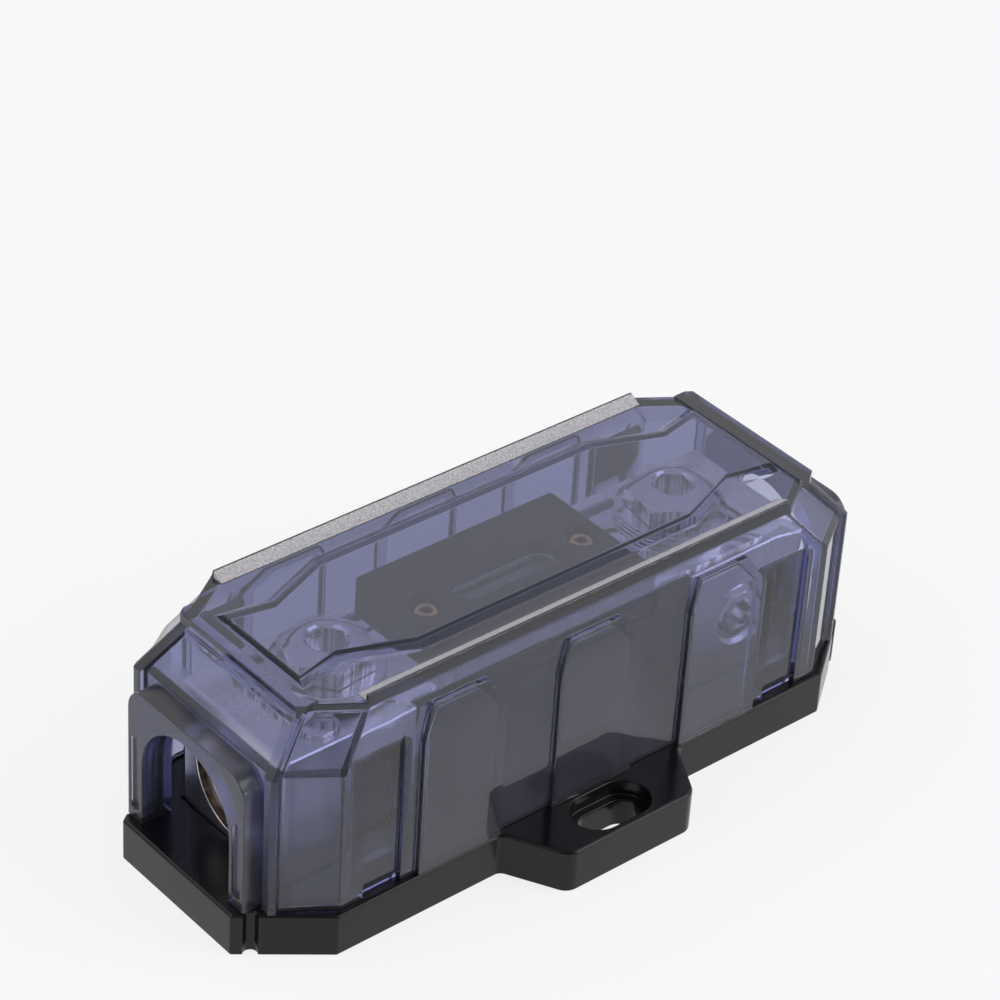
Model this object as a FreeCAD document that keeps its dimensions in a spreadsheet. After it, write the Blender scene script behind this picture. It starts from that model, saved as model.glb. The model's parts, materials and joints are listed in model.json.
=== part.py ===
import FreeCAD, Part
import math
import os
import re
import Sketcher

# A fuse holder for one bolt-down strip fuse, in millimetres.
# X runs along the holder, -Y is the front, +Z is up, and the origin is the middle of the base's underside.

doc = FreeCAD.newDocument("fuse_holder")

# Driving dimensions
SIZES = {
    # Base plate
    "base_length": 110.0,
    "base_width": 41.0,
    "base_height": 6.8,
    "base_end_flat": 24.2,
    "base_end_taper": 11.2,
    "base_edge_round": 0.5,
    "notch_run": 2.1,
    "notch_radius": 1.0,
    "ear_span": 58.4,
    "ear_root_width": 32.0,
    "ear_tip_width": 22.4,
    "ear_tip_round": 2.4,
    "ear_root_round": 1.4,
    "ear_slot_margin": 4.8,
    "ear_slot_travel": 5.0,
    "ear_slot_width": 4.8,
    "ear_recess_width": 7.4,
    "ear_recess_depth": 2.4,
    # Raised middle of the base, which carries the fuse between the terminal blocks
    "pedestal_proud": 0.4,
    "pedestal_gap": 0.2,
    "pedestal_tab_gap": 0.1,
    "pedestal_edge": 0.8,
    "buttress_end_gap": 5.1,
    "buttress_run": 4.5,
    "buttress_cover_gap": 0.3,
    "buttress_drop": 1.3,
    "buttress_round": 3.0,
    "base_skin": 2.4,
    "base_rib": 2.0,
    # Terminal blocks
    "block_length": 21.4,
    "block_width": 22.2,
    "block_height": 20.9,
    "block_edge": 0.3,
    "seat_depth": 0.8,
    "seat_gap": 0.25,
    "cable_bore_height": 9.9,
    "cable_bore_diameter": 12.2,
    "cable_end_wall": 4.9,
    "cable_mouth_diameter": 16.4,
    "cable_mouth_depth": 1.6,
    "cable_lead_in": 1.3,
    "grip_groove_depth": 0.6,
    "grip_groove_width": 1.2,
    "grip_groove_pitch": 2.8,
    "grip_land": 4.6,
    # Fuse bolts and their washers
    "bolt_pitch": 61.5,
    "bolt_offset": 4.25,
    "bolt_diameter": 8.0,
    "bolt_head_flats": 11.9,
    "bolt_head_height": 3.7,
    "bolt_crown_diameter": 7.0,
    "bolt_crown_drop": 1.3,
    "bolt_socket_flats": 5.0,
    "bolt_socket_depth": 2.5,
    "bolt_socket_mouth": 6.4,
    "bolt_socket_sink": 0.4,
    "bolt_tip_gap": 0.6,
    "bolt_angle_left": 6.0,
    "bolt_angle_right": 21.0,
    "bolt_tip_chamfer": 0.6,
    "turning_gap": 0.06,
    "flat_washer_diameter": 16.2,
    "flat_washer_height": 0.8,
    "spring_washer_diameter": 16.2,
    "spring_washer_height": 0.9,
    "spring_washer_drop": 0.25,
    "washer_bore_gap": 0.2,
    # Set screws that clamp the cables
    "set_screw_diameter": 8.0,
    "set_screw_tip_gap": 0.05,
    "set_screw_recess": 0.35,
    "set_screw_flats": 4.5,
    "set_screw_socket_depth": 2.8,
    "set_screw_chamfer": 0.5,
    "set_screw_mouth": 0.6,
    # Screws that hold the blocks from below
    "fixing_screw_diameter": 4.0,
    "fixing_wall": 0.6,
    "fixing_head_diameter": 7.0,
    "fixing_head_height": 2.4,
    "fixing_head_chamfer": 0.5,
    "fixing_head_gap": 0.5,
    "fixing_hole_gap": 0.15,
    "fixing_slot_width": 1.1,
    "fixing_slot_depth": 1.2,
    "fixing_counterbore": 3.2,
    # Fuse
    "fuse_length": 35.2,
    "fuse_width": 21.8,
    "fuse_height": 7.6,
    "fuse_edge_round": 0.9,
    "fuse_corner_round": 0.7,
    "fuse_seat_gap": 0.2,
    "element_end": 9.65,
    "element_side_wall": 1.1,
    "element_thickness": 0.8,
    "element_corner": 2.2,
    "element_mouth_round": 1.9,
    "element_slot_width": 8.7,
    "element_neck_width": 3.4,
    "element_neck_length": 12.0,
    "element_gap": 0.1,
    "window_length": 18.3,
    "window_width": 5.4,
    "window_thickness": 0.9,
    "window_lift": 0.6,
    "window_gap": 0.05,
    "rivet_inset": 3.8,
    "rivet_diameter": 3.0,
    "rivet_bore": 1.7,
    "rivet_head_diameter": 4.2,
    "rivet_head_height": 0.7,
    "rivet_recess_diameter": 4.8,
    "rivet_recess_depth": 1.5,
    "rivet_gap": 0.05,
    # Cover
    "cover_end_margin": 4.7,
    "cover_side_margin": 0.9,
    "cover_corner_x": 7.6,
    "cover_corner_y": 5.0,
    "cover_wall_rise": 2.2,
    "cover_head_gap": 2.0,
    "cover_rim_height": 1.3,
    "cover_end_slope": 5.6,
    "cover_side_slope": 2.6,
    "cover_wall": 1.6,
    "relief": 0.8,
    "panel_width": 14.2,
    "panel_top_width": 9.2,
    "panel_pitch": 23.2,
    "panel_rise": 4.1,
    "panel_step_wall": 1.2,
    "ridge_width": 2.2,
    "end_band_width": 2.4,
    "plateau_rise": 0.9,
    "plateau_slope": 1.6,
    "plateau_end_margin": 2.7,
    "plateau_side_margin": 7.5,
    "plateau_waist_step": 4.0,
    "plateau_end_step": 1.5,
    "plateau_end_run": 7.5,
    "plateau_step_run": 10.5,
    "rail_rise": 1.1,
    "rail_width": 2.6,
    "rail_crest": 0.7,
    "snap_inset": 6.8,
    "snap_width": 5.8,
    "snap_strip_width": 6.2,
    "snap_strip_depth": 0.8,
    "snap_strip_rise": 2.6,
    "snap_set_back": 1.2,
    "snap_root": 4.0,
    "snap_thickness": 1.4,
    "snap_reach": 4.6,
    "snap_hook": 0.4,
    "snap_hook_height": 1.6,
    "snap_gap": 0.2,
    "snap_slot_back": 1.5,
    "hood_end_margin": 1.4,
    "hood_wall": 3.2,
    "hood_top_gap": 0.4,
    "hood_corner": 3.6,
    "arch_clearance": 1.4,
    "arch_lift": 0.9,
    "dimple_width": 1.9,
    "dimple_travel": 10.4,
    "dimple_depth": 0.5,
    "dimple_base": 2.6,
}

sheet = doc.addObject("Spreadsheet::Sheet", "Sizes")
for row, (alias, value) in enumerate(SIZES.items(), start=1):
    sheet.set(f"A{row}", alias)
    sheet.set(f"B{row}", str(value))
    sheet.setAlias(f"B{row}", alias)
doc.recompute()

WORD = re.compile(r"[a-z][a-z_]*[a-z]")
FUNCTIONS = {"sqrt"}

UP = FreeCAD.Vector(0, 0, 1)
ALONG = FreeCAD.Vector(1, 0, 0)
SIDES = {"left": -1, "right": 1}

# Planes of a body's own origin
TOP_PLANE = "XY_Plane"
FRONT_PLANE = "XZ_Plane"
SIDE_PLANE = "YZ_Plane"

# Sizes and places that follow from others, as formulas of the sheet's words
BLOCK_FOOT = "(base_height - seat_depth)"
BLOCK_TOP = f"({BLOCK_FOOT} + block_height)"
BLOCK_CENTRE = "(bolt_pitch / 2 + bolt_offset)"
BORE_AXIS = f"({BLOCK_FOOT} + cable_bore_height)"
BORE_DEPTH = "(block_length - cable_end_wall)"
TAB_TOP = f"({BLOCK_TOP} + element_thickness)"
FUSE_MIDDLE = f"({BLOCK_TOP} + element_thickness / 2)"
FUSE_FOOT = f"({FUSE_MIDDLE} - fuse_height / 2)"
WASHERS_TOP = f"({TAB_TOP} + flat_washer_height + spring_washer_height)"
PEDESTAL_WIDTH = "(block_width + 2 * pedestal_proud)"
PEDESTAL_END = f"({BLOCK_CENTRE} - block_length / 2 - pedestal_gap)"
BUTTRESS_X = f"({PEDESTAL_END} - buttress_end_gap - buttress_run)"
EAR_SLOT_Y = "(ear_span / 2 - ear_slot_margin)"
FIXING_GRIP = "(cable_bore_height - cable_bore_diameter / 2 - fixing_wall)"
THREAD_DEPTH = "(block_height - cable_bore_height - cable_bore_diameter / 2 - bolt_tip_gap)"
SET_SCREW_LENGTH = "(block_width / 2 - set_screw_recess - cable_bore_diameter / 2 - set_screw_tip_gap)"
ELEMENT_LENGTH = "(bolt_pitch + 2 * element_end)"
ELEMENT_WIDTH = "(fuse_width - 2 * element_side_wall)"
RIVET_X = "(fuse_length / 2 - rivet_inset)"

# The cover's, measured from the top of the base
COVER_LENGTH = "(base_length - 2 * cover_end_margin)"
COVER_WIDTH = "(base_width - 2 * cover_side_margin)"
BUTTRESS_FOOT = f"({COVER_WIDTH} / 2 - cover_wall - buttress_cover_gap)"
WALL_HEIGHT = f"({BLOCK_TOP} - base_height + cover_wall_rise)"
COVER_TOP = f"({WASHERS_TOP} + bolt_head_height - base_height + cover_head_gap + cover_wall)"
SHOULDER_TOP = f"({COVER_TOP} - cover_rim_height)"
RIM_X = f"({COVER_LENGTH} / 2 - cover_end_slope)"
RIM_Y = f"({COVER_WIDTH} / 2 - cover_side_slope)"
SNAP_X = f"({COVER_LENGTH} / 2 - cover_corner_x - snap_inset)"
STRIP_FACE = f"({COVER_WIDTH} / 2 - snap_strip_depth)"
SNAP_FACE = f"({STRIP_FACE} - snap_set_back)"
SNAP_SLOT_OUTER = f"({SNAP_FACE} + snap_hook + snap_gap)"
SNAP_SLOT_INNER = f"({SNAP_FACE} - snap_thickness - snap_slot_back)"
HOOD_REACH = "(base_length / 2 - hood_end_margin)"
ARCH_WIDTH = "(cable_mouth_diameter + 2 * arch_clearance)"
ARCH_SPRING = f"({BORE_AXIS} - base_height + arch_lift)"
HOOD_WIDTH = f"({ARCH_WIDTH} + 2 * hood_wall)"


def size(formula):
    """The number that a formula of the sheet's words gives now."""
    return float(sheet.evalExpression(formula))


def bound(formula):
    """The same formula as an expression that another object can hold."""
    def link(match):
        word = match.group(0)
        return word if word in FUNCTIONS else f"Sizes.{word}"
    return WORD.sub(link, formula)


def bind(target, **formulas):
    """Binds properties of an object to formulas."""
    for name, formula in formulas.items():
        target.setExpression(name, bound(formula))
    return target


def vector(x="0", y="0", z="0"):
    return FreeCAD.Vector(size(x), size(y), size(z))


def add_body(name):
    return doc.addObject("PartDesign::Body", name)


def new_sketch(body, role, lift="0"):
    """A sketch on one of the body's origin planes, moved along the plane's normal by lift."""
    plane = next(item for item in body.Origin.OriginFeatures if item.Role == role)
    sketch = body.newObject("Sketcher::SketchObject", "Sketch")
    sketch.AttachmentSupport = [(plane, "")]
    sketch.MapMode = "FlatFace"
    sketch.setExpression(".AttachmentOffset.Base.z", bound(lift))
    return sketch


def tie(sketch, geometry, point, x, y):
    """Holds a sketch point at formulas for its two coordinates."""
    for kind, formula, axis in (("DistanceX", x, -2), ("DistanceY", y, -1)):
        if formula == "0":
            sketch.addConstraint(Sketcher.Constraint("PointOnObject", geometry, point, axis))
            continue
        held = Sketcher.Constraint(kind, -1, 1, geometry, point, size(formula))
        number = sketch.addConstraint(held)
        sketch.setExpression(f"Constraints[{number}]", bound(formula))


def polygon(sketch, corners):
    """A closed outline through corners, each a pair of formulas."""
    first = sketch.GeometryCount
    count = len(corners)
    places = [vector(x, y) for x, y in corners]
    for number, place in enumerate(places):
        following = places[(number + 1) % count]
        sketch.addGeometry(Part.LineSegment(place, following), False)
    for number, (x, y) in enumerate(corners):
        following = first + (number + 1) % count
        joined = Sketcher.Constraint("Coincident", first + number, 2, following, 1)
        sketch.addConstraint(joined)
        tie(sketch, first + number, 1, x, y)
    return sketch


def rectangle(sketch, low_x, low_y, high_x, high_y):
    corners = [(low_x, low_y), (high_x, low_y), (high_x, high_y), (low_x, high_y)]
    return polygon(sketch, corners)


def circle(sketch, x, y, diameter):
    shape = Part.Circle(vector(x, y), UP, size(diameter) / 2)
    number = sketch.addGeometry(shape, False)
    tie(sketch, number, 3, x, y)
    held = Sketcher.Constraint("Diameter", number, size(diameter))
    constraint = sketch.addConstraint(held)
    sketch.setExpression(f"Constraints[{constraint}]", bound(diameter))
    return sketch


def slot_outline(sketch, ends, width, start):
    """Two arcs about the ends and two lines: the first arc's span starts at the angle start."""
    radius = size(width) / 2
    centres = [vector(*end) for end in ends]
    arcs = []
    for centre, turned_by in zip(centres, (0, math.pi)):
        first = start + turned_by
        arc = Part.ArcOfCircle(Part.Circle(centre, UP, radius), first, first + math.pi)
        arcs.append(sketch.addGeometry(arc, False))
    across = FreeCAD.Vector(math.cos(start), math.sin(start), 0) * radius
    near_end, far_end = centres
    lead = sketch.addGeometry(Part.LineSegment(near_end - across, far_end - across), False)
    back = sketch.addGeometry(Part.LineSegment(far_end + across, near_end + across), False)
    joints = [(arcs[0], 2, lead, 1), (lead, 2, arcs[1], 1), (arcs[1], 2, back, 1), (back, 2, arcs[0], 1)]
    for joint in joints:
        sketch.addConstraint(Sketcher.Constraint("Tangent", *joint))
    for arc, end in zip(arcs, ends):
        tie(sketch, arc, 3, *end)
    number = sketch.addConstraint(Sketcher.Constraint("Radius", arcs[0], radius))
    sketch.setExpression(f"Constraints[{number}]", bound(f"({width}) / 2"))
    return sketch


def obround(sketch, x, y, travel, width):
    """A slot along the sketch's X, the centres of its ends travel apart."""
    ends = [(f"{x} + ({travel}) / 2", y), (f"{x} - ({travel}) / 2", y)]
    return slot_outline(sketch, ends, width, -math.pi / 2)


def upright_obround(sketch, x, low, travel, width):
    """A slot along the sketch's Y, its lower centre at low and its upper one travel above."""
    return slot_outline(sketch, [(x, f"{low} + ({travel})"), (x, low)], width, 0)


def hexagon(sketch, flats):
    """A hexagon about the sketch's origin, two of its corners on the sketch's X axis."""
    reach = f"{flats} / sqrt(3)"
    half = f"{flats} / 2"
    corners = [
        (reach, "0"), (f"{reach} / 2", half), (f"-{reach} / 2", half),
        (f"-{reach}", "0"), (f"-{reach} / 2", f"-{half}"), (f"{reach} / 2", f"-{half}"),
    ]
    return polygon(sketch, corners)


def pad(body, sketch, length, backwards=False):
    feature = body.newObject("PartDesign::Pad", "Pad")
    feature.Profile = sketch
    feature.Reversed = backwards
    bind(feature, Length=length)
    doc.recompute()
    return feature


def pocket(body, sketch, length, backwards=False):
    """Cuts a sketch into the body and stops if it cut nothing."""
    before = body.Shape.Volume
    feature = body.newObject("PartDesign::Pocket", "Pocket")
    feature.Profile = sketch
    feature.Reversed = backwards
    bind(feature, Length=length)
    doc.recompute()
    if body.Shape.Volume >= before:
        raise RuntimeError(f"a pocket in {body.Name} cuts nothing")
    return feature


def turned(body, kind, sketch, axis):
    """A revolution or groove of a sketch about one of its own axes."""
    feature = body.newObject(f"PartDesign::{kind}", kind)
    feature.Profile = sketch
    feature.ReferenceAxis = (sketch, [axis])
    feature.Angle = 360
    doc.recompute()
    return feature


def loft(body, low, high):
    feature = body.newObject("PartDesign::AdditiveLoft", "AdditiveLoft")
    feature.Profile = low
    feature.Sections = [high]
    feature.Ruled = True
    doc.recompute()
    return feature


def dress(body, kind, formula, wanted):
    """A fillet or chamfer on the body's edges that the test picks out."""
    tip = body.Tip
    names = [f"Edge{n}" for n, edge in enumerate(tip.Shape.Edges, start=1) if wanted(edge)]
    if not names:
        raise RuntimeError(f"no edge to dress in {body.Name}")
    feature = body.newObject(f"PartDesign::{kind}", kind)
    feature.Base = (tip, names)
    bind(feature, **{"Radius" if kind == "Fillet" else "Size": formula})
    doc.recompute()
    return feature


def near(value, target):
    return abs(value - target) < 1e-4


def upright(edge):
    box = edge.BoundBox
    return box.XLength < 1e-4 and box.YLength < 1e-4 and box.ZLength > 1e-3


def flat_at(edge, height):
    return near(edge.BoundBox.ZMin, height) and near(edge.BoundBox.ZMax, height)


def place(thing, x="0", y="0", z="0"):
    """Binds the place of a finished piece to formulas."""
    for axis, formula in zip("xyz", (x, y, z)):
        thing.setExpression(f".Placement.Base.{axis}", bound(formula))
    return thing


def turn(thing, axis, angle):
    thing.Placement.Rotation = FreeCAD.Rotation(axis, angle)
    return thing


# Base


def base_outline(sketch):
    """The plate's outline: tapered ends and an ear in the middle of each long side."""
    corners = []
    half = [
        ("base_length / 2", "base_end_flat / 2"),
        ("(base_length / 2 - base_end_taper)", "base_width / 2"),
        ("ear_root_width / 2", "base_width / 2"),
        ("ear_tip_width / 2", "ear_span / 2"),
    ]
    corners += half
    corners += [(f"-{x}", y) for x, y in reversed(half)]
    corners += [(f"-{x}", f"-{y}") for x, y in half]
    corners += [(x, f"-{y}") for x, y in reversed(half)]
    return polygon(sketch, corners)


def add_pedestal(body):
    """The wall between the blocks, notched for the fuse, on a sloped buttress to each side."""
    side = f"{PEDESTAL_WIDTH} / 2"
    wall = rectangle(new_sketch(body, TOP_PLANE, "base_height"), f"-{PEDESTAL_END}", f"-{side}",
                     PEDESTAL_END, side)
    pad(body, wall, f"{BLOCK_TOP} - base_height - pedestal_tab_gap")
    wall_top = size(f"{BLOCK_TOP} - pedestal_tab_gap")
    wall_y = size(side)
    dress(body, "Chamfer", "pedestal_edge",
          lambda edge: flat_at(edge, wall_top) and near(abs(edge.BoundBox.YMin), wall_y)
          and edge.BoundBox.YLength < 1e-3)
    foot = new_sketch(body, TOP_PLANE, "base_height")
    head = new_sketch(body, TOP_PLANE, f"{FUSE_FOOT} - fuse_seat_gap - buttress_drop")
    for sketch, middle in ((foot, BUTTRESS_FOOT), (head, side)):
        quarter = [
            (f"({PEDESTAL_END} - buttress_end_gap)", f"({side} - pedestal_edge / 2)"),
            (BUTTRESS_X, middle),
        ]
        corners = quarter + [(f"-{x}", y) for x, y in reversed(quarter)]
        corners += [(f"-{x}", f"-{y}") for x, y in quarter]
        corners += [(x, f"-{y}") for x, y in reversed(quarter)]
        polygon(sketch, corners)
    loft(body, foot, head)
    notch = rectangle(new_sketch(body, FRONT_PLANE, "base_width / 2"),
                      "-(fuse_length / 2 + fuse_seat_gap)", f"{FUSE_FOOT} - fuse_seat_gap",
                      "(fuse_length / 2 + fuse_seat_gap)", BLOCK_TOP)
    pocket(body, notch, "base_width")


def round_buttress(body):
    """Rounds the four sloping corners of the buttresses."""
    low = size("base_height")
    corner_x = size(BUTTRESS_X)

    def wanted(edge):
        box = edge.BoundBox
        return (near(abs(box.XMin), corner_x) and box.XLength < 1e-3
                and near(box.ZMin, low) and box.YLength > 1 and box.ZLength > 1)
    dress(body, "Fillet", "buttress_round", wanted)


def cut_seats(body):
    """Shallow seats for the two terminal blocks, with a hole for the screw below each."""
    for side in SIDES.values():
        centre = f"{side} * {BLOCK_CENTRE}"
        seat = rectangle(new_sketch(body, TOP_PLANE, "base_height"),
                         f"{centre} - block_length / 2 - seat_gap", "-(block_width / 2 + seat_gap)",
                         f"{centre} + block_length / 2 + seat_gap", "block_width / 2 + seat_gap")
        pocket(body, seat, "seat_depth")
        hole = circle(new_sketch(body, TOP_PLANE, "base_height"), centre, "0",
                      "fixing_screw_diameter + 2 * fixing_hole_gap")
        pocket(body, hole, "base_height")
        sink = circle(new_sketch(body, TOP_PLANE), centre, "0", "fixing_head_diameter + 2 * fixing_head_gap")
        pocket(body, sink, "fixing_counterbore", backwards=True)


def cut_ear_slots(body):
    for sign in ("-", ""):
        middle = f"{sign}{EAR_SLOT_Y}"
        recess = obround(new_sketch(body, TOP_PLANE, "base_height"), "0", middle,
                         "ear_slot_travel", "ear_recess_width")
        pocket(body, recess, "ear_recess_depth")
        through = obround(new_sketch(body, TOP_PLANE, "base_height"), "0", middle,
                          "ear_slot_travel", "ear_slot_width")
        pocket(body, through, "base_height")


def cut_snap_slots(body):
    """One slot through the base for each snap arm of the cover."""
    sketch = new_sketch(body, TOP_PLANE, "base_height")
    half = "(snap_width / 2 + snap_gap)"
    for side in SIDES.values():
        centre = f"{side} * {SNAP_X}"
        front = f"-{SNAP_SLOT_OUTER}", f"-{SNAP_SLOT_INNER}"
        for low, high in (front, (SNAP_SLOT_INNER, SNAP_SLOT_OUTER)):
            rectangle(sketch, f"{centre} - {half}", low, f"{centre} + {half}", high)
    pocket(body, sketch, "base_height")


def hollow_pedestal(body):
    """The hollows that a moulding has under its raised middle, with a rib between them."""
    length = f"({PEDESTAL_END} - base_skin)"
    sketch = new_sketch(body, TOP_PLANE)
    half = f"({PEDESTAL_WIDTH} / 2 - base_skin)"
    rectangle(sketch, "base_rib / 2", f"-{half}", length, half)
    rectangle(sketch, f"-{length}", f"-{half}", "-base_rib / 2", half)
    pocket(body, sketch, f"{FUSE_FOOT} - fuse_seat_gap - base_skin", backwards=True)


def make_base():
    body = add_body("base")
    pad(body, base_outline(new_sketch(body, TOP_PLANE)), "base_height")
    tip_y = size("ear_span / 2")
    root_x = size("ear_root_width / 2")
    side_y = size("base_width / 2")
    dress(body, "Fillet", "ear_tip_round",
          lambda edge: upright(edge) and near(abs(edge.BoundBox.YMin), tip_y))
    dress(body, "Fillet", "ear_root_round",
          lambda edge: upright(edge) and near(abs(edge.BoundBox.XMin), root_x)
          and near(abs(edge.BoundBox.YMin), side_y))
    notches = new_sketch(body, TOP_PLANE, "base_height")
    drop = "notch_run * (base_width - base_end_flat) / 2 / base_end_taper"
    for x_sign in ("-", ""):
        for y_sign in ("-", ""):
            circle(notches, f"{x_sign}(base_length / 2 - notch_run)",
                   f"{y_sign}(base_end_flat / 2 + {drop})", "2 * notch_radius")
    pocket(body, notches, "base_height")
    top = size("base_height")
    dress(body, "Fillet", "base_edge_round", lambda edge: flat_at(edge, top))
    add_pedestal(body)
    round_buttress(body)
    cut_seats(body)
    cut_ear_slots(body)
    cut_snap_slots(body)
    hollow_pedestal(body)
    return body


# Terminal blocks


def bore_profile(sketch):
    """Half section of the cable bore, from the mouth in the outer face to its blind end."""
    face = "-block_length / 2"
    corners = [(f"{face} - 1", "0"), (f"{face} - 1", "cable_mouth_diameter / 2")]
    corners += [
        (f"{face} + cable_mouth_depth", "cable_mouth_diameter / 2"),
        (f"{face} + cable_mouth_depth + cable_lead_in", "cable_bore_diameter / 2"),
    ]
    for number in range(3):
        start = f"{face} + cable_mouth_depth + cable_lead_in + grip_land + {number} * grip_groove_pitch"
        deep = "cable_bore_diameter / 2 + grip_groove_depth"
        corners += [
            (start, "cable_bore_diameter / 2"),
            (f"{start} + grip_groove_width / 3", deep),
            (f"{start} + 2 * grip_groove_width / 3", deep),
            (f"{start} + grip_groove_width", "cable_bore_diameter / 2"),
        ]
    end = f"{face} + {BORE_DEPTH}"
    corners += [(end, "cable_bore_diameter / 2"), (f"{end} + cable_bore_diameter / 8", "0")]
    return polygon(sketch, corners)


def make_block(name, side):
    """A block about its cable bore's axis: bore in -X, bolt hole on top, set screw in +Y."""
    body = add_body(name)
    outline = rectangle(new_sketch(body, TOP_PLANE, "-cable_bore_height"), "-block_length / 2",
                        "-block_width / 2", "block_length / 2", "block_width / 2")
    pad(body, outline, "block_height")
    dress(body, "Chamfer", "block_edge", lambda edge: True)
    before = body.Shape.Volume
    turned(body, "Groove", bore_profile(new_sketch(body, FRONT_PLANE)), "H_Axis")
    if body.Shape.Volume >= before:
        raise RuntimeError("the cable bore cuts nothing")
    bolt = circle(new_sketch(body, TOP_PLANE, "block_height - cable_bore_height"),
                  "bolt_offset", "0", "bolt_diameter + 2 * turning_gap")
    pocket(body, bolt, "block_height - cable_bore_height")
    screw = circle(new_sketch(body, FRONT_PLANE, "-block_width / 2"), "0", "0",
                   "set_screw_diameter + 2 * turning_gap")
    pocket(body, screw, "block_width / 2", backwards=True)
    mouth_y = size("block_width / 2")
    dress(body, "Chamfer", "set_screw_mouth",
          lambda edge: near(edge.BoundBox.YMin, mouth_y) and near(edge.BoundBox.YMax, mouth_y)
          and edge.Curve.TypeId == "Part::GeomCircle")
    fixing = circle(new_sketch(body, TOP_PLANE, "-cable_bore_height"), "0", "0",
                    "fixing_screw_diameter + 2 * turning_gap")
    pocket(body, fixing, f"{FIXING_GRIP} + fixing_hole_gap", backwards=True)
    turn(body, UP, 0 if side < 0 else 180)
    return place(body, x=f"{side} * {BLOCK_CENTRE}", z=BORE_AXIS)


# Fasteners


def make_bolt(name, side):
    """A hexagon bolt with a coned crown and a hexagon socket, its head's underside at z = 0."""
    body = add_body(name)
    pad(body, hexagon(new_sketch(body, TOP_PLANE), "bolt_head_flats"), "bolt_head_height")
    crown = new_sketch(body, FRONT_PLANE)
    edge = "bolt_head_flats / sqrt(3) + 1"
    slope = "bolt_crown_drop / (bolt_head_flats / sqrt(3) - bolt_crown_diameter / 2)"
    polygon(crown, [
        ("bolt_crown_diameter / 2", "bolt_head_height"),
        (edge, f"bolt_head_height - ({edge} - bolt_crown_diameter / 2) * {slope}"),
        (edge, "bolt_head_height + 1"),
        ("bolt_crown_diameter / 2", "bolt_head_height + 1"),
    ])
    turned(body, "Groove", crown, "V_Axis")
    reach = f"{THREAD_DEPTH} + element_thickness + flat_washer_height + spring_washer_height"
    pad(body, circle(new_sketch(body, TOP_PLANE), "0", "0", "bolt_diameter"), reach, backwards=True)
    tip = -size(reach)
    dress(body, "Chamfer", "bolt_tip_chamfer", lambda edge: flat_at(edge, tip))
    socket = hexagon(new_sketch(body, TOP_PLANE, "bolt_head_height"), "bolt_socket_flats")
    pocket(body, socket, "bolt_socket_depth")
    mouth = new_sketch(body, FRONT_PLANE)
    polygon(mouth, [
        ("0", "bolt_head_height + 1"), ("bolt_socket_mouth / 2 + 1", "bolt_head_height + 1"),
        ("bolt_socket_mouth / 2 - bolt_socket_sink", "bolt_head_height - bolt_socket_sink"),
        ("0", "bolt_head_height - bolt_socket_sink"),
    ])
    turned(body, "Groove", mouth, "V_Axis")
    turn(body, UP, size("bolt_angle_left" if side < 0 else "bolt_angle_right"))
    return place(body, x=f"{side} * bolt_pitch / 2", z=WASHERS_TOP)


def make_flat_washer(name, side):
    body = add_body(name)
    ring = circle(new_sketch(body, TOP_PLANE), "0", "0", "flat_washer_diameter")
    circle(ring, "0", "0", "bolt_diameter + 2 * washer_bore_gap")
    pad(body, ring, "flat_washer_height")
    outer = size("flat_washer_diameter / 2")
    dress(body, "Chamfer", "flat_washer_height / 5",
          lambda edge: near(edge.BoundBox.XMax, outer) and edge.BoundBox.ZLength < 1e-4)
    return place(body, x=f"{side} * bolt_pitch / 2", z=TAB_TOP)


def make_spring_washer(name, side):
    """A disc spring washer, pressed nearly flat: its rim below and its bore's edge against the head."""
    body = add_body(name)
    inner, outer = "(bolt_diameter / 2 + washer_bore_gap)", "spring_washer_diameter / 2"
    section = polygon(new_sketch(body, FRONT_PLANE), [
        (inner, "spring_washer_drop"), (outer, "0"), (outer, "spring_washer_height - spring_washer_drop"),
        (inner, "spring_washer_height"),
    ])
    turned(body, "Revolution", section, "V_Axis")
    return place(body, x=f"{side} * bolt_pitch / 2", z=f"{TAB_TOP} + flat_washer_height")


def make_set_screw(name, side):
    """A socket set screw along Y, its outer end at y = 0 and its tip towards the cable."""
    body = add_body(name)
    stem = circle(new_sketch(body, TOP_PLANE), "0", "0", "set_screw_diameter")
    pad(body, stem, SET_SCREW_LENGTH, backwards=True)
    dress(body, "Chamfer", "set_screw_chamfer", lambda edge: edge.Curve.TypeId == "Part::GeomCircle")
    socket = hexagon(new_sketch(body, TOP_PLANE), "set_screw_flats")
    pocket(body, socket, "set_screw_socket_depth")
    turn(body, ALONG, 90 if side > 0 else -90)
    outer_end = f"{-side} * (block_width / 2 - set_screw_recess)"
    return place(body, x=f"{side} * {BLOCK_CENTRE}", y=outer_end, z=BORE_AXIS)


def make_fixing_screw(name, side):
    """A pan-head screw that holds a block from below, the underside of its head's bearing face at z = 0."""
    body = add_body(name)
    pad(body, circle(new_sketch(body, TOP_PLANE), "0", "0", "fixing_head_diameter"),
        "fixing_head_height", backwards=True)
    bottom = -size("fixing_head_height")
    dress(body, "Chamfer", "fixing_head_chamfer", lambda edge: flat_at(edge, bottom))
    length = f"{BLOCK_FOOT} - fixing_counterbore + {FIXING_GRIP}"
    pad(body, circle(new_sketch(body, TOP_PLANE), "0", "0", "fixing_screw_diameter"), length)
    half_slot = "fixing_slot_width / 2"
    reach = "fixing_head_diameter / 3"
    for x, y in ((reach, half_slot), (half_slot, reach)):
        slot = rectangle(new_sketch(body, TOP_PLANE, "-fixing_head_height"), f"-{x}", f"-{y}", x, y)
        pocket(body, slot, "fixing_slot_depth", backwards=True)
    return place(body, x=f"{side} * {BLOCK_CENTRE}", z="fixing_counterbore")


# Fuse


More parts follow.
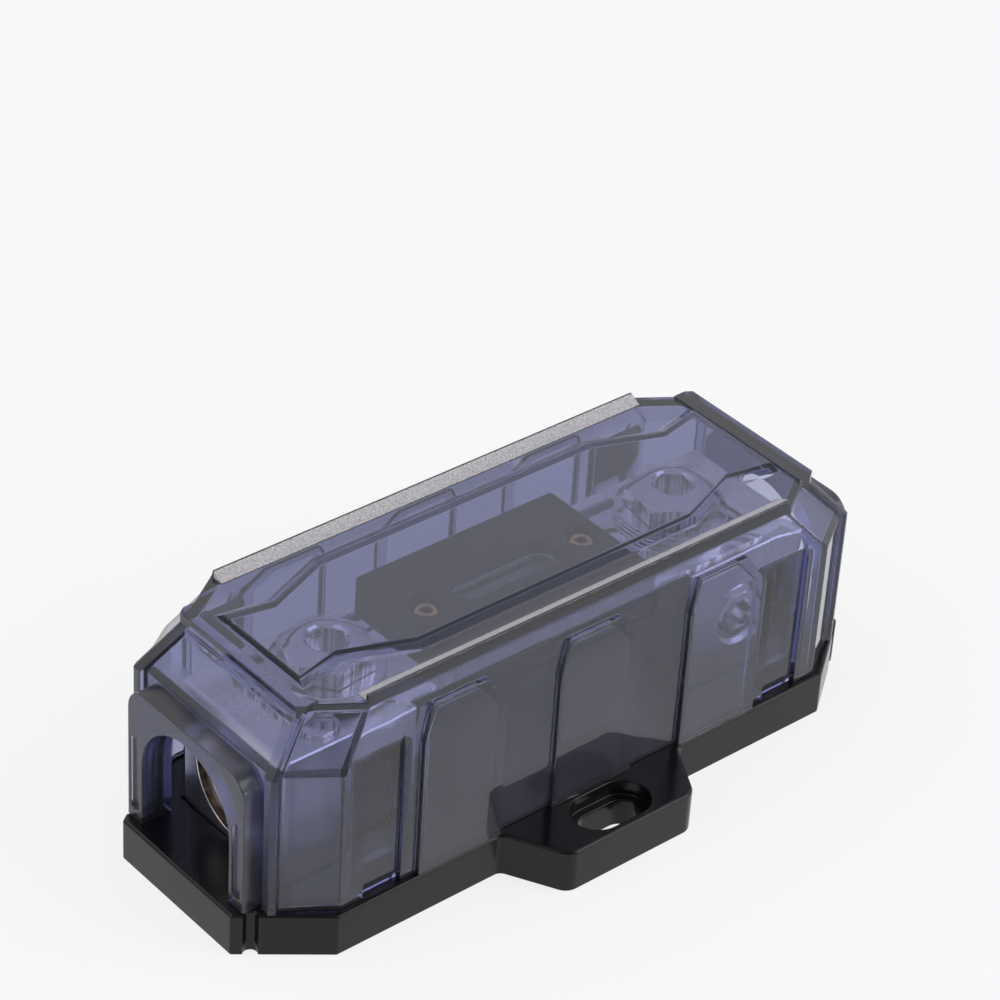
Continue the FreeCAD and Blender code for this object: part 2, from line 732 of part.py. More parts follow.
def make_fuse_half(name, upper):
    """Half of the fuse's case, its parting face at z = 0 and its outer face up."""
    body = add_body(name)
    half_height = "fuse_height / 2"
    outline = rectangle(new_sketch(body, TOP_PLANE), "-fuse_length / 2", "-fuse_width / 2",
                        "fuse_length / 2", "fuse_width / 2")
    pad(body, outline, half_height)
    dress(body, "Fillet", "fuse_corner_round", upright)
    top = size(half_height)
    dress(body, "Fillet", "fuse_edge_round" if upper else "fuse_edge_round / 2",
          lambda edge: flat_at(edge, top))
    channel_side = f"({ELEMENT_WIDTH} / 2 + element_gap)"
    channel = rectangle(new_sketch(body, TOP_PLANE), "-fuse_length / 2", f"-{channel_side}",
                        "fuse_length / 2", channel_side)
    pocket(body, channel, "element_thickness / 2", backwards=True)
    window = obround(new_sketch(body, TOP_PLANE, half_height), "0", "0",
                     "(window_length - window_width)", "window_width")
    pocket(body, window, half_height)
    holes = new_sketch(body, TOP_PLANE, half_height)
    recesses = new_sketch(body, TOP_PLANE, half_height)
    for side in SIDES.values():
        centre = f"{side} * {RIVET_X}"
        circle(holes, centre, "0", "rivet_diameter + 2 * rivet_gap")
        circle(recesses, centre, "0", "rivet_recess_diameter")
    pocket(body, holes, half_height)
    pocket(body, recesses, "rivet_recess_depth")
    turn(body, ALONG, 0 if upper else 180)
    return place(body, z=FUSE_MIDDLE)


def make_element():
    """The fuse's metal strip: two tabs, each with a slot for its bolt, and a narrow middle."""
    body = add_body("fuse_element")
    end, side = f"{ELEMENT_LENGTH} / 2", f"{ELEMENT_WIDTH} / 2"
    neck_x, neck_y = "element_neck_length / 2", "element_neck_width / 2"
    bay = "(window_length / 2 + window_width / 4)"
    quarter = [(end, side), (bay, side), (bay, f"{side} - element_corner"), (neck_x, neck_y)]
    corners = quarter + [(f"-{x}", y) for x, y in reversed(quarter)]
    corners += [(f"-{x}", f"-({y})") for x, y in quarter]
    corners += [(x, f"-({y})") for x, y in reversed(quarter)]
    pad(body, polygon(new_sketch(body, TOP_PLANE), corners), "element_thickness")
    end_x = size(end)
    dress(body, "Fillet", "element_corner",
          lambda edge: upright(edge) and near(abs(edge.BoundBox.XMin), end_x))
    for sign in SIDES.values():
        centre = f"{sign} * bolt_pitch / 2"
        half = "element_slot_width / 2"
        hole = circle(new_sketch(body, TOP_PLANE, "element_thickness"), centre, "0", "element_slot_width")
        pocket(body, hole, "element_thickness")
        edge_y = f"{sign} * {ELEMENT_WIDTH}"
        low, high = ("0", edge_y) if sign > 0 else (edge_y, "0")
        slot = rectangle(new_sketch(body, TOP_PLANE, "element_thickness"), f"{centre} - {half}", low,
                         f"{centre} + {half}", high)
        pocket(body, slot, "element_thickness")
        rivet = circle(new_sketch(body, TOP_PLANE, "element_thickness"), f"{sign} * {RIVET_X}", "0",
                       "rivet_diameter + 2 * rivet_gap")
        pocket(body, rivet, "element_thickness")
    side_y = size(side)
    mouth_x = size("bolt_pitch / 2"), size("element_slot_width / 2")
    dress(body, "Fillet", "element_mouth_round",
          lambda edge: upright(edge) and near(abs(edge.BoundBox.YMin), side_y)
          and near(abs(abs(edge.BoundBox.XMin) - mouth_x[0]), mouth_x[1]))
    return place(body, z=BLOCK_TOP)


def make_window(name, upper):
    """A clear pane in one half of the case, just off the element."""
    body = add_body(name)
    pane = obround(new_sketch(body, TOP_PLANE), "0", "0", "(window_length - window_width)",
                   "window_width - 2 * window_gap")
    pad(body, pane, "window_thickness")
    lift = "(element_thickness / 2 + window_lift)"
    if upper:
        return place(body, z=f"{FUSE_MIDDLE} + {lift}")
    return place(body, z=f"{FUSE_MIDDLE} - {lift} - window_thickness")


def make_rivet(name, side):
    """A tubular rivet through both halves of the case, headed at each end."""
    body = add_body(name)
    reach = "fuse_height / 2 - rivet_recess_depth"
    section = new_sketch(body, FRONT_PLANE)
    bore, shank, head = "rivet_bore / 2", "rivet_diameter / 2", "rivet_head_diameter / 2"
    crown = f"({reach} + rivet_head_height)"
    crown_edge = f"({bore} + {head}) / 2"
    upper = [(shank, reach), (head, reach), (head, f"{reach} + rivet_head_height / 2"), (crown_edge, crown),
             (bore, crown)]
    corners = upper + [(x, f"-({z})") for x, z in reversed(upper)]
    polygon(section, corners)
    turned(body, "Revolution", section, "V_Axis")
    return place(body, x=f"{side} * {RIVET_X}", z=FUSE_MIDDLE)


# Cover


def octagon(sketch, length, width, cut_x, cut_y):
    """An octagon of half length and half width, its corners cut by cut_x along and cut_y across."""
    quarter = [(length, f"({width} - {cut_y})"), (f"({length} - {cut_x})", width)]
    corners = quarter + [(f"-{x}", y) for x, y in reversed(quarter)]
    corners += [(f"-{x}", f"-{y}") for x, y in quarter]
    corners += [(x, f"-{y}") for x, y in reversed(quarter)]
    return polygon(sketch, corners)


def faceted_body(name, grow, top_grow, foot="0"):
    """The cover's faceted form, every wall moved out by grow and its top up by top_grow."""
    body = add_body(name)
    diagonal = "sqrt(cover_corner_x * cover_corner_x + cover_corner_y * cover_corner_y)"
    cut_x = f"(cover_corner_x + {grow} - {grow} * ({diagonal} - cover_corner_x) / cover_corner_y)"
    cut_y = f"(cover_corner_y + {grow} - {grow} * ({diagonal} - cover_corner_y) / cover_corner_x)"
    wall = (f"({COVER_LENGTH} / 2 + {grow})", f"({COVER_WIDTH} / 2 + {grow})", cut_x, cut_y)
    rim = (f"({RIM_X} + {grow})", f"({RIM_Y} + {grow})", cut_x, cut_y)
    pad(body, octagon(new_sketch(body, TOP_PLANE, foot), *wall), f"{WALL_HEIGHT} - {foot}")
    low = octagon(new_sketch(body, TOP_PLANE, WALL_HEIGHT), *wall)
    high = octagon(new_sketch(body, TOP_PLANE, SHOULDER_TOP), *rim)
    loft(body, low, high)
    pad(body, octagon(new_sketch(body, TOP_PLANE, SHOULDER_TOP), *rim), f"cover_rim_height + {top_grow}")
    return body


def panel_prisms(name, inset, foot):
    """Prisms over the three panels that stand proud on each long side, their sides moved in by inset."""
    body = add_body(name)
    panels = new_sketch(body, FRONT_PLANE, f"-{COVER_WIDTH}")
    wide, narrow = f"(panel_width / 2 - {inset})", f"(panel_top_width / 2 - {inset})"
    top = f"({WALL_HEIGHT} + panel_rise - {inset})"
    for number in (-1, 0, 1):
        centre = f"{number} * panel_pitch"
        polygon(panels, [
            (f"{centre} - {wide}", foot), (f"{centre} + {wide}", foot),
            (f"{centre} + {wide}", WALL_HEIGHT), (f"{centre} + {narrow}", top),
            (f"{centre} - {narrow}", top), (f"{centre} - {wide}", WALL_HEIGHT),
        ])
    pad(body, panels, f"2 * {COVER_WIDTH}")
    return body


def ridge_prisms():
    """Upright prisms along the ridge beside each end, from the top plate to the foot, and its end band."""
    body = add_body("ridge_prisms")
    plan = new_sketch(body, TOP_PLANE)
    rim_y = f"({RIM_Y} - cover_corner_y)"
    foot_x = f"({COVER_LENGTH} / 2 + relief + 1)"
    foot_y = f"({COVER_WIDTH} / 2 - cover_corner_y + ridge_width / 4)"
    half = "ridge_width / 2"
    band_x = f"({RIM_X} - end_band_width)"
    for side in SIDES.values():
        quarter = [
            (f"{side} * {band_x}", f"({rim_y} + {half})"),
            (f"{side} * {RIM_X}", f"({rim_y} + {half})"),
            (f"{side} * {foot_x}", f"({foot_y} + {half})"),
            (f"{side} * {foot_x}", f"({foot_y} - {half})"),
            (f"{side} * ({RIM_X} + {half})", f"({rim_y} - {half})"),
        ]
        corners = quarter + [(x, f"-{y}") for x, y in reversed(quarter)]
        polygon(plan, corners)
    pad(body, plan, f"2 * {WALL_HEIGHT}")
    return body


def plateau(name, drop, shrink):
    """The raised middle of the top plate, its long edges stepped in and out, lowered by drop."""
    body = add_body(name)
    length = f"({RIM_X} - plateau_end_margin)"
    waist_length = f"({length} - plateau_end_run)"
    middle_length = f"({waist_length} - plateau_step_run)"
    middle = f"({COVER_WIDTH} / 2 - plateau_side_margin)"
    waist = f"({middle} - plateau_waist_step)"
    sections = []
    foot = f"({COVER_TOP} - {drop})"
    for height, inset in ((foot, shrink), (f"{foot} + plateau_rise", f"({shrink} + plateau_slope)")):
        quarter = [
            (f"({length} - {inset} / 4)", f"({waist} + plateau_end_step - {inset})"),
            (waist_length, f"({waist} - {inset})"),
            (middle_length, f"({middle} - {inset})"),
        ]
        corners = quarter + [(f"-{x}", y) for x, y in reversed(quarter)]
        corners += [(f"-{x}", f"-{y}") for x, y in quarter]
        corners += [(x, f"-{y}") for x, y in reversed(quarter)]
        sections.append(polygon(new_sketch(body, TOP_PLANE, height), corners))
    loft(body, *sections)
    return body


def rails():
    """A raised lip along each long edge of the top, steep outside and sloping inwards."""
    body = add_body("rails")
    half_length = f"({RIM_X} - cover_corner_x)"
    section = new_sketch(body, SIDE_PLANE, f"-{half_length}")
    for sign in ("-", ""):
        polygon(section, [
            (f"{sign}{RIM_Y}", f"{COVER_TOP} - cover_rim_height / 2"),
            (f"{sign}{RIM_Y}", f"{COVER_TOP}"),
            (f"{sign}({RIM_Y} - rail_crest / 2)", f"{COVER_TOP} + rail_rise"),
            (f"{sign}({RIM_Y} - rail_crest)", f"{COVER_TOP} + rail_rise"),
            (f"{sign}({RIM_Y} - rail_width)", f"{COVER_TOP}"),
            (f"{sign}({RIM_Y} - rail_width)", f"{COVER_TOP} - cover_rim_height / 2"),
        ])
    pad(body, section, f"2 * {half_length}")
    return body


def hoods():
    """The tunnels over the two cable entries, solid here and cut by the arch later."""
    body = add_body("hoods")
    section = new_sketch(body, SIDE_PLANE, f"-{HOOD_REACH}")
    half, top = f"{HOOD_WIDTH} / 2", f"({WALL_HEIGHT} - hood_top_gap)"
    rectangle(section, f"-{half}", "0", half, top)
    pad(body, section, f"2 * {HOOD_REACH}")
    crown = size(top)
    dress(body, "Fillet", "hood_corner",
          lambda edge: flat_at(edge, crown) and edge.BoundBox.YLength < 1e-3)
    return body


def arch_tool():
    """The arch that opens both hoods."""
    body = add_body("arch_tool")
    section = new_sketch(body, SIDE_PLANE, f"-({HOOD_REACH} + 1)")
    radius = size(f"{ARCH_WIDTH} / 2")
    spring = vector("0", ARCH_SPRING)
    arc = section.addGeometry(Part.ArcOfCircle(Part.Circle(spring, UP, radius), 0, math.pi), False)
    right, left = vector(f"{ARCH_WIDTH} / 2", ARCH_SPRING), vector(f"-{ARCH_WIDTH} / 2", ARCH_SPRING)
    down = FreeCAD.Vector(0, spring.y + 1, 0)
    lines = [(left, left - down), (left - down, right - down), (right - down, right)]
    legs = [section.addGeometry(Part.LineSegment(*ends), False) for ends in lines]
    for joint in ((arc, 2, legs[0], 1), (legs[2], 2, arc, 1)):
        section.addConstraint(Sketcher.Constraint("Tangent", *joint))
    for joint in ((legs[0], 2, legs[1], 1), (legs[1], 2, legs[2], 1)):
        section.addConstraint(Sketcher.Constraint("Coincident", *joint))
    section.addConstraint(Sketcher.Constraint("Vertical", legs[0]))
    section.addConstraint(Sketcher.Constraint("Vertical", legs[2]))
    section.addConstraint(Sketcher.Constraint("Horizontal", legs[1]))
    tie(section, arc, 3, "0", ARCH_SPRING)
    number = section.addConstraint(Sketcher.Constraint("Radius", arc, radius))
    section.setExpression(f"Constraints[{number}]", bound(f"{ARCH_WIDTH} / 2"))
    section.addConstraint(Sketcher.Constraint("DistanceY", -1, 1, legs[1], 1, -1))
    pad(body, section, f"2 * ({HOOD_REACH} + 1)")
    return body


def dimple_tool():
    """The long dimples in the faces of the hoods' legs, each with a round top and foot."""
    body = add_body("dimple_tool")
    middle = f"({HOOD_WIDTH} + {ARCH_WIDTH}) / 4"
    for side in SIDES.values():
        lift = f"-{HOOD_REACH}" if side < 0 else f"{HOOD_REACH} - dimple_depth"
        sketch = new_sketch(body, SIDE_PLANE, lift)
        for sign in ("-", ""):
            upright_obround(sketch, f"{sign}{middle}", "dimple_base", "dimple_travel", "dimple_width")
        feature = body.newObject("PartDesign::Pad", "Pad")
        feature.Profile = sketch
        feature.AllowMultiFace = True
        bind(feature, Length="dimple_depth")
        doc.recompute()
    return body


def box(name, low, high):
    """A plain box between two corners of formulas."""
    piece = doc.addObject("Part::Box", name)
    bind(piece, Length=f"({high[0]}) - ({low[0]})", Width=f"({high[1]}) - ({low[1]})",
         Height=f"({high[2]}) - ({low[2]})")
    return place(piece, *low)


def snap_boxes(kind, half_width, inner, outer, low, high):
    """Four like boxes, one at each snap: half_width to each side, from inner to outer across."""
    pieces = []
    for side_name, side in SIDES.items():
        centre = f"{side} * {SNAP_X}"
        for face, sign in (("front", -1), ("back", 1)):
            reach = (f"-{outer}", f"-{inner}") if sign < 0 else (inner, outer)
            corner_low = (f"{centre} - {half_width}", reach[0], low)
            corner_high = (f"{centre} + {half_width}", reach[1], high)
            pieces.append(box(f"{kind}_{face}_{side_name}", corner_low, corner_high))
    return pieces


def joined(kind, name, pieces):
    """A fusion or common of several pieces."""
    result = doc.addObject(f"Part::{kind}", name)
    result.Shapes = pieces
    doc.recompute()
    return result


def cut(name, base, tool):
    result = doc.addObject("Part::Cut", name)
    result.Base = base
    result.Tool = tool
    doc.recompute()
    return result


def cover_cavity():
    """The room inside the cover, which follows its panels and plateau so that the wall is even."""
    inner = faceted_body("cover_inner_form", "(-cover_wall)", "0", foot="(-1)")
    behind = faceted_body("cover_behind_panels", "(relief - cover_wall)", "0", foot="(-1)")
    panels = joined("MultiCommon", "cover_panel_hollows",
                    [behind, panel_prisms("panels_inside", "panel_step_wall", "(-1)")])
    room = joined("MultiFuse", "cover_inner_room", [inner, panels])
    corner = (f"{COVER_LENGTH} / 2", f"{COVER_WIDTH} / 2", f"{COVER_TOP} - cover_wall")
    below_plate = box("below_plate", (f"-{corner[0]}", f"-{corner[1]}", "-1"), corner)
    level = joined("MultiCommon", "cover_level_room", [room, below_plate])
    raised = plateau("plateau_inside", "cover_wall", "(cover_wall / 4)")
    return joined("MultiFuse", "cover_cavity", [level, raised])


def make_cover():
    """The moulded cover: a faceted shell with relief, snap arms and a hood over each cable entry."""
    outer = faceted_body("cover_form", "0", "0")
    envelope = faceted_body("cover_relief_form", "relief", "relief / 2")
    prisms = joined("MultiFuse", "relief_places", [panel_prisms("panels", "0", "0"), ridge_prisms()])
    relief = joined("MultiCommon", "cover_relief", [envelope, prisms])
    form = joined("MultiFuse", "cover_solid",
                  [outer, relief, plateau("plateau", "0", "0"), rails(), hoods()])
    cavity = cover_cavity()
    shell = cut("cover_shell", form, cavity)
    backing = snap_boxes("backing", "(snap_strip_width / 2 + cover_wall)", f"({STRIP_FACE} - cover_wall)",
                         f"({COVER_WIDTH} / 2 - cover_wall / 2)", "0", WALL_HEIGHT)
    arms = snap_boxes("arm", "snap_width / 2", f"({SNAP_FACE} - snap_thickness)", SNAP_FACE,
                      "-snap_reach", "snap_root")
    hooks = snap_boxes("hook", "snap_width / 2", SNAP_FACE, f"({SNAP_FACE} + snap_hook)", "-snap_reach",
                       "-snap_reach + snap_hook_height")
    whole = joined("MultiFuse", "cover_with_arms", [shell] + backing)
    strips = snap_boxes("strip", "snap_strip_width / 2", STRIP_FACE, f"({COVER_WIDTH} / 2 + relief)",
                        "-1", f"{WALL_HEIGHT} + snap_strip_rise")
    tools = joined("MultiFuse", "cover_cuts", strips + [arch_tool(), dimple_tool()])
    trimmed = cut("cover_trimmed", whole, tools)
    cover = joined("MultiFuse", "cover", [trimmed] + arms + hooks)
    return place(cover, z="base_height")


# Pieces, each by the name of its file

pieces = [make_base()]
for side_name, side in SIDES.items():
    pieces.append(make_block(f"terminal_block_{side_name}", side))
    pieces.append(make_fixing_screw(f"block_screw_{side_name}", side))
    pieces.append(make_flat_washer(f"flat_washer_{side_name}", side))
    pieces.append(make_spring_washer(f"spring_washer_{side_name}", side))
    pieces.append(make_bolt(f"fuse_bolt_{side_name}", side))
    pieces.append(make_set_screw(f"set_screw_{side_name}", side))
    pieces.append(make_rivet(f"fuse_rivet_{side_name}", side))
pieces.append(make_element())
for layer, upper in (("upper", True), ("lower", False)):
    pieces.append(make_fuse_half(f"fuse_body_{layer}", upper))
    pieces.append(make_window(f"fuse_window_{layer}", upper))
pieces.append(make_cover())

doc.recompute()
for item in doc.Objects:
    if {"Invalid", "Error"} & set(item.State):
        raise RuntimeError(f"{item.Name} failed: {item.State}")
for piece in pieces:
    piece.Label = piece.Name
    if piece.Shape.isNull() or not piece.Shape.isValid():
        raise RuntimeError(f"{piece.Label} has no valid shape")

os.makedirs("parts", exist_ok=True)
for piece in pieces:
    piece.Shape.exportStep(f"parts/{piece.Label}.step")
    print(piece.Label, len(piece.Shape.Solids), round(piece.Shape.Volume, 2))
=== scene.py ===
import json
import math

import bmesh
import bpy
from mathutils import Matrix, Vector


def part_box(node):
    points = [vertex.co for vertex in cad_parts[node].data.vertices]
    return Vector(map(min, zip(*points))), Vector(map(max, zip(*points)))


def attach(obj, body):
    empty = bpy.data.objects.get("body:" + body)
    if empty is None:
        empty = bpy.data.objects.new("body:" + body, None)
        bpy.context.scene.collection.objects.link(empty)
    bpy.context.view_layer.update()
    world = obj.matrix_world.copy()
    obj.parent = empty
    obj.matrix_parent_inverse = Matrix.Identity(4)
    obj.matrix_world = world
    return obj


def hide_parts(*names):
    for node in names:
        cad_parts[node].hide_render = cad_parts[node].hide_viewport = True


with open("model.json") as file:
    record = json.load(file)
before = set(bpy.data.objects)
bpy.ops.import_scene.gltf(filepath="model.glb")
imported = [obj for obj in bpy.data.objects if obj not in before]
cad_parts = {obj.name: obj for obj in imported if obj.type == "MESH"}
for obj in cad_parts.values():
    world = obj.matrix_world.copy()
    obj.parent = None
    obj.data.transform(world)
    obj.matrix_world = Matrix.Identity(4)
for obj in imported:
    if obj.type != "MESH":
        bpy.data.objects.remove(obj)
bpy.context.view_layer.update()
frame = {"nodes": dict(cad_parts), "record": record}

# A bolt-down strip fuse in its holder, under a smoky clear cover.
# Lengths are in metres in the frame's axes: +X along the holder, -Y the front, +Z up.

MM = 0.001
MICRON = 1e-6
SIDES = ("left", "right")

# The photograph's camera
CAMERA_PLACE = Vector((-0.27591, -0.30378, 0.32858))
CAMERA_TURN = tuple(math.radians(angle) for angle in (55.143, -3.04, -39.952))
CAMERA_LENS = 133.888
SENSOR = 36.0
CLIP_NEAR, CLIP_FAR = 0.01, 30.0

# The rounding of sharp edges: points nearer than MERGE are one point, faces that turn by less than FLAT_ANGLE
# are one flat region, and edges that turn by more than SHARP_ANGLE are rounded.
MERGE = 1.0 * MICRON
FLAT_ANGLE = math.radians(0.6)
SHARP_ANGLE = math.radians(28.0)

# The width of each kind of piece's rounded edges, and their number of steps
EDGES = {
    "base": (0.25 * MM, 3),
    "terminal_block": (0.12 * MM, 2),
    "flat_washer": (0.1 * MM, 2),
    "spring_washer": (0.12 * MM, 2),
    "fuse_bolt": (0.07 * MM, 3),
    "set_screw": (0.08 * MM, 2),
    "fuse_rivet": (0.14 * MM, 3),
    "block_screw": (0.1 * MM, 2),
    "fuse_element": (0.07 * MM, 2),
    "fuse_body": (0.16 * MM, 2),
    "cover": (0.16 * MM, 3),
}

# Colours
BASE_BLACK = (0.0055, 0.005, 0.006)
CASE_BLACK = (0.010, 0.009, 0.010)
NICKEL = (0.78, 0.755, 0.74)
# A warm tone for the blocks' cable bores, darker than the nickel as painted shade in the bore
BORE_TONE_AND_SHADE_DARK, BORE_TONE_AND_SHADE_LIGHT = (0.6, 0.52, 0.48), (0.8, 0.74, 0.7)
SHEARED_DARK = (0.1, 0.095, 0.09)
# Painted shade: the dark grey of the strip inside the fuse case
CASE_SHADE_DARK, CASE_SHADE_LIGHT = (0.2, 0.2, 0.2), (0.34, 0.33, 0.33)
BRASS = (0.83, 0.56, 0.22)
ZINC = (0.6, 0.61, 0.64)
PANE_DARK, PANE_LIGHT = (0.9, 0.92, 0.94), (0.97, 0.98, 1.0)
COVER_DARK, COVER_LIGHT = (0.86, 0.87, 0.95), (0.91, 0.92, 0.98)
RAIL_DARK, RAIL_LIGHT = (0.38, 0.37, 0.4), (0.8, 0.77, 0.8)
FLOOR_DARK, FLOOR_LIGHT = (0.86, 0.86, 0.87), (0.9, 0.9, 0.9)
WHITE = (1.0, 1.0, 1.0)

# The light that gets through clear plastic to what is behind it
PANE_TINT = (0.97, 0.97, 1.0)
COVER_TINT = (0.93, 0.93, 0.97)

# The range that most of a noise's values lie in
NOISE_SPREAD = (0.3, 0.7)

# Upright streaks on brushed and sheared metal, as features per metre on each axis
STREAKS = (1800.0, 1800.0, 30.0)
SHEAR_MARKS = (1400.0, 1400.0, 60.0)

# The radius about a cable bore's axis within which a block's inner walls are the bore's
BORE_REACH = 8.4 * MM

# The cover's plastic: how clear it is, its colour in depth and how fast it darkens there. The slopes inside
# its rails are frosted between two distances from the middle, down to a depth below its top, and its ends and
# hoods are satin. All of it has a fine texture, a small share of the frost's relief.
COVER_CLARITY = 0.97
COVER_DEPTH = (0.39, 0.41, 0.62)
COVER_DENSITY = 720.0
COVER_TEXTURE = 0.004
RAIL_CLARITY = 0.2
RAIL_FROST_START = 14.5 * MM
RAIL_FROST_END = 16.3 * MM
RAIL_FROST_DROP = 1.02 * MM
SATIN_START = 48.0 * MM

ACRYLIC_IOR = 1.49
COVER_IOR = 1.52

# The floor, and the share of white glow in how it looks
FLOOR_REACH = 6.0
FLOOR_GLOW = 0.8

# The studio's strength on surfaces, and how it dims in reflections away from its bright back
WORLD_LEVEL = 0.5
STUDIO_BACK = (0.675, 0.737, 0.0)
STUDIO_FADE = (0.0, 0.6)
STUDIO_DIM = 0.22

# What the softboxes point at
MIDDLE = (0.0, 0.0, 0.02)
LIFTED_COVER = (0.0, 0.0, 0.09)


# Shader helpers


def toned(color, share):
    """A colour with each channel times a share."""
    return tuple(channel * share for channel in color)


class Graph:
    """A node tree: adds nodes and links them in short calls."""

    def __init__(self, tree):
        self.tree = tree

    def add(self, kind, **settings):
        node = self.tree.nodes.new(kind)
        for name, value in settings.items():
            setattr(node, name, value)
        return node

    def feed(self, socket, value):
        """Links a socket, or sets its value."""
        if isinstance(value, bpy.types.NodeSocket):
            self.tree.links.new(value, socket)
        else:
            socket.default_value = value

    def math(self, operation, *values):
        node = self.add("ShaderNodeMath", operation=operation)
        for socket, value in zip(node.inputs, values):
            self.feed(socket, value)
        return node.outputs[0]

    def span(self, value, start, end=(0.0, 1.0), curve="LINEAR"):
        """Maps value from one range to another, kept within it."""
        node = self.add("ShaderNodeMapRange", interpolation_type=curve)
        for name, number in zip(("From Min", "From Max", "To Min", "To Max"), (*start, *end)):
            node.inputs[name].default_value = number
        self.feed(node.inputs["Value"], value)
        return node.outputs["Result"]

    def blended(self, share, first, second, data_type, socket_type):
        """Two values of one type mixed by share."""
        node = self.add("ShaderNodeMix", data_type=data_type)
        pair = [socket for socket in node.inputs if socket.type == socket_type][-2:]
        self.feed(node.inputs["Factor"], share)
        self.feed(pair[0], first)
        self.feed(pair[1], second)
        return next(socket for socket in node.outputs if socket.type == socket_type)

    def mix(self, share, first, second):
        """Two colours mixed by share."""
        return self.blended(share, first, second, "RGBA", "RGBA")

    def mix_number(self, share, first, second):
        """Two numbers mixed by share."""
        return self.blended(share, first, second, "FLOAT", "VALUE")

    def mix_shader(self, share, first, second):
        """Two surfaces mixed by share."""
        node = self.add("ShaderNodeMixShader")
        for socket, value in zip(node.inputs, (share, first, second)):
            self.feed(socket, value)
        return node.outputs["Shader"]


class Shader(Graph):
    """A material whose patterns lie in the object's coordinates. Its noise scales are features per metre."""

    def __init__(self, name):
        self.material = bpy.data.materials.new(name)
        self.material.use_nodes = True
        super().__init__(self.material.node_tree)
        self.surface = self.tree.nodes["Principled BSDF"]
        self.output = self.tree.nodes["Material Output"]
        coordinates = self.add("ShaderNodeTexCoord")
        self.place = coordinates.outputs["Object"]
        self.normal = coordinates.outputs["Normal"]

    def set(self, **values):
        """Sets the surface's own sockets, each named with underscores for spaces."""
        for name, value in values.items():
            self.feed(self.surface.inputs[name.replace("_", " ")], value)

    def stretch(self, x=1.0, y=1.0, z=1.0):
        """The object's coordinates times a factor on each axis."""
        node = self.add("ShaderNodeMapping")
        self.feed(node.inputs["Scale"], (x, y, z))
        self.feed(node.inputs["Vector"], self.place)
        return node.outputs["Vector"]

    def shift(self, offset):
        """The object's coordinates moved by an offset."""
        node = self.add("ShaderNodeVectorMath", operation="ADD")
        self.feed(node.inputs[0], self.place)
        self.feed(node.inputs[1], offset)
        return node.outputs[0]

    def noise(self, scale, detail=3.0, roughness=0.5, vector=None):
        node = self.add("ShaderNodeTexNoise")
        values = {"Scale": scale, "Detail": detail, "Roughness": roughness, "Vector": vector or self.place}
        for name, value in values.items():
            self.feed(node.inputs[name], value)
        return node.outputs["Fac"]

    def shades(self, value, dark, light, spread=NOISE_SPREAD):
        """Two colours, from dark at the start of the spread of value to light at its end."""
        node = self.add("ShaderNodeValToRGB")
        for element, position, color in zip(node.color_ramp.elements, spread, (dark, light)):
            element.position = position
            element.color = (*color, 1.0)
        self.feed(node.inputs["Fac"], value)
        return node.outputs["Color"]

    def split(self, vector):
        """The three parts of a vector."""
        node = self.add("ShaderNodeSeparateXYZ")
        self.feed(node.inputs[0], vector)
        return node.outputs

    def combine(self, x=0.0, y=0.0, z=0.0):
        node = self.add("ShaderNodeCombineXYZ")
        for socket, value in zip(node.inputs, (x, y, z)):
            self.feed(socket, value)
        return node.outputs[0]

    def distance(self, first, second):
        """How far a point is from an axis, from its two coordinates across that axis."""
        squares = [self.math("MULTIPLY", value, value) for value in (first, second)]
        return self.math("SQRT", self.math("ADD", *squares))

    def level(self, axis):
        """How squarely the surface faces along one of the object's axes, either way, from 0 to 1."""
        return self.math("ABSOLUTE", self.split(self.normal)[axis])

    def bump(self, height, depth, strength=1.0, normal=None):
        """A bump of so many metres."""
        node = self.add("ShaderNodeBump")
        self.feed(node.inputs["Distance"], depth)
        self.feed(node.inputs["Strength"], strength)
        self.feed(node.inputs["Height"], height)
        if normal:
            self.feed(node.inputs["Normal"], normal)
        return node.outputs["Normal"]

    def streaks(self):
        """Fine upright streaks, as brushing leaves them."""
        return self.noise(1.0, detail=4.0, roughness=0.6, vector=self.stretch(*STREAKS))

    def let_lamps_through(self, tint):
        """Lets the lamps' light pass to what is behind clear plastic."""
        rays = self.add("ShaderNodeLightPath")
        passing = self.add("ShaderNodeBsdfTransparent")
        self.feed(passing.inputs["Color"], (*tint, 1.0))
        shadow = rays.outputs["Is Shadow Ray"]
        mixed = self.mix_shader(shadow, self.surface.outputs["BSDF"], passing.outputs["BSDF"])
        self.feed(self.output.inputs["Surface"], mixed)


# Materials


def moulded_black(name, shade, roughness, grain):
    """Black moulded plastic: a fine grain, faint cloudiness in colour and gloss, and handling marks."""
    shader = Shader(name)
    clouds = shader.noise(60.0, detail=4.0)
    fine = shader.noise(2600.0, detail=2.0)
    specks = shader.math("ADD", clouds, shader.math("MULTIPLY", fine, 0.35))
    handling = shader.bump(shader.noise(90.0, detail=2.0), 8.0 * MICRON, strength=0.6)
    shader.set(
        Base_Color=shader.shades(clouds, toned(shade, 0.75), toned(shade, 1.35), (0.35, 0.7)),
        Roughness=shader.span(specks, (0.35, 0.9), (roughness - 0.05, roughness + 0.08)),
        Specular_IOR_Level=0.3,
        Normal=shader.bump(fine, grain, strength=0.5, normal=handling),
    )
    return shader.material


